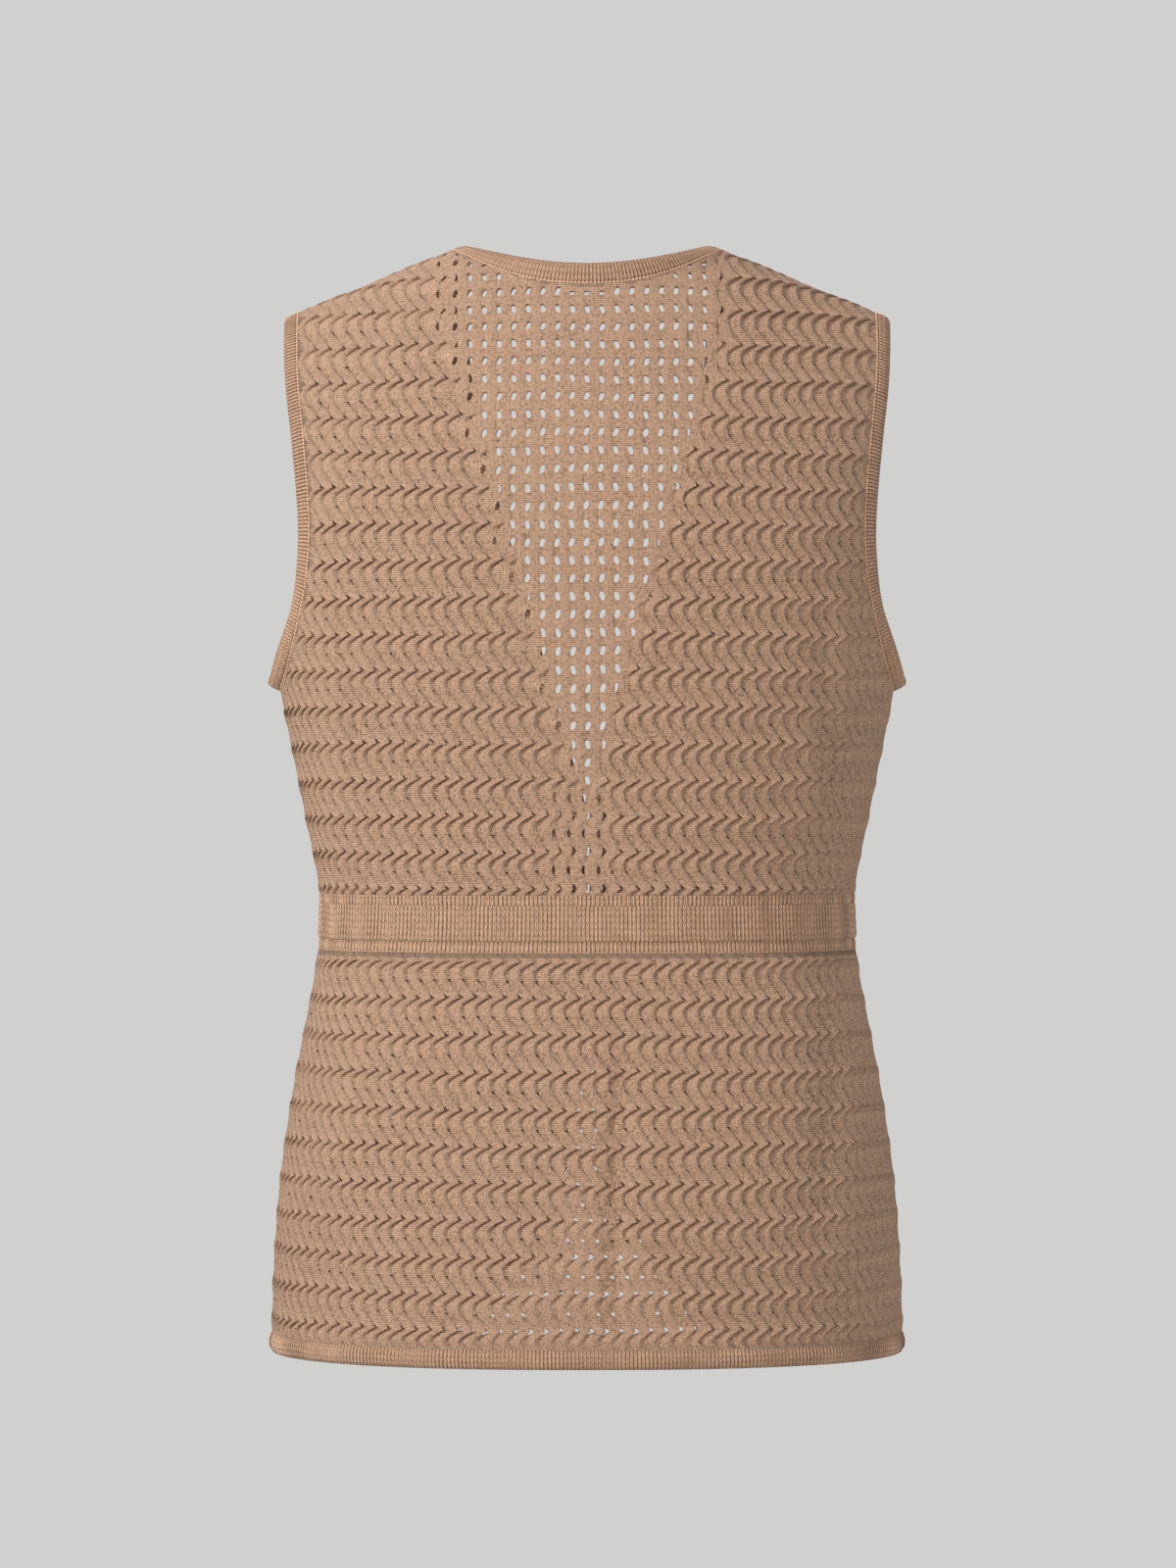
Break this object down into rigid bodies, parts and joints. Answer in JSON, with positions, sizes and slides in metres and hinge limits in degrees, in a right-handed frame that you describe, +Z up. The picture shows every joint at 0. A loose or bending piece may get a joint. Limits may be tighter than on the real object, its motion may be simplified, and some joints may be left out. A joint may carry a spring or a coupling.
{
  "type": "tie-front knit vest",
  "caption": "Sleeveless openwork knit vest with rib edges, a deep V front and a tie at the waist, hollow as worn.",
  "frame": {"origin": "midway between the two high shoulder points at the neck, where the wearer's shoulders carry the vest", "axes": "+Z up, +Y out of the back, +X to the wearer's left; the front faces -Y"},
  "size_m": [0.3522, 0.2204, 0.6082],
  "materials": {
    "openwork_knit": "matt openwork cotton knit, warm camel",
    "rib_knit": "matt rib knit, warm camel"
  },
  "bodies": {
    "root": {"back_bodice": "openwork_knit", "front_bodice_left": "openwork_knit", "front_bodice_right": "openwork_knit", "back_skirt": "openwork_knit", "front_skirt_left": "openwork_knit", "front_skirt_right": "openwork_knit", "neck_and_front_band": "rib_knit", "armhole_band_left": "rib_knit", "armhole_band_right": "rib_knit", "skirt_front_band_left": "rib_knit", "skirt_front_band_right": "rib_knit", "waistband": "rib_knit", "tie_band": "rib_knit", "hem_band": "rib_knit", "tie_knot": "rib_knit", "tie_end_left": "rib_knit", "tie_end_right": "rib_knit"}
  },
  "joints": []
}
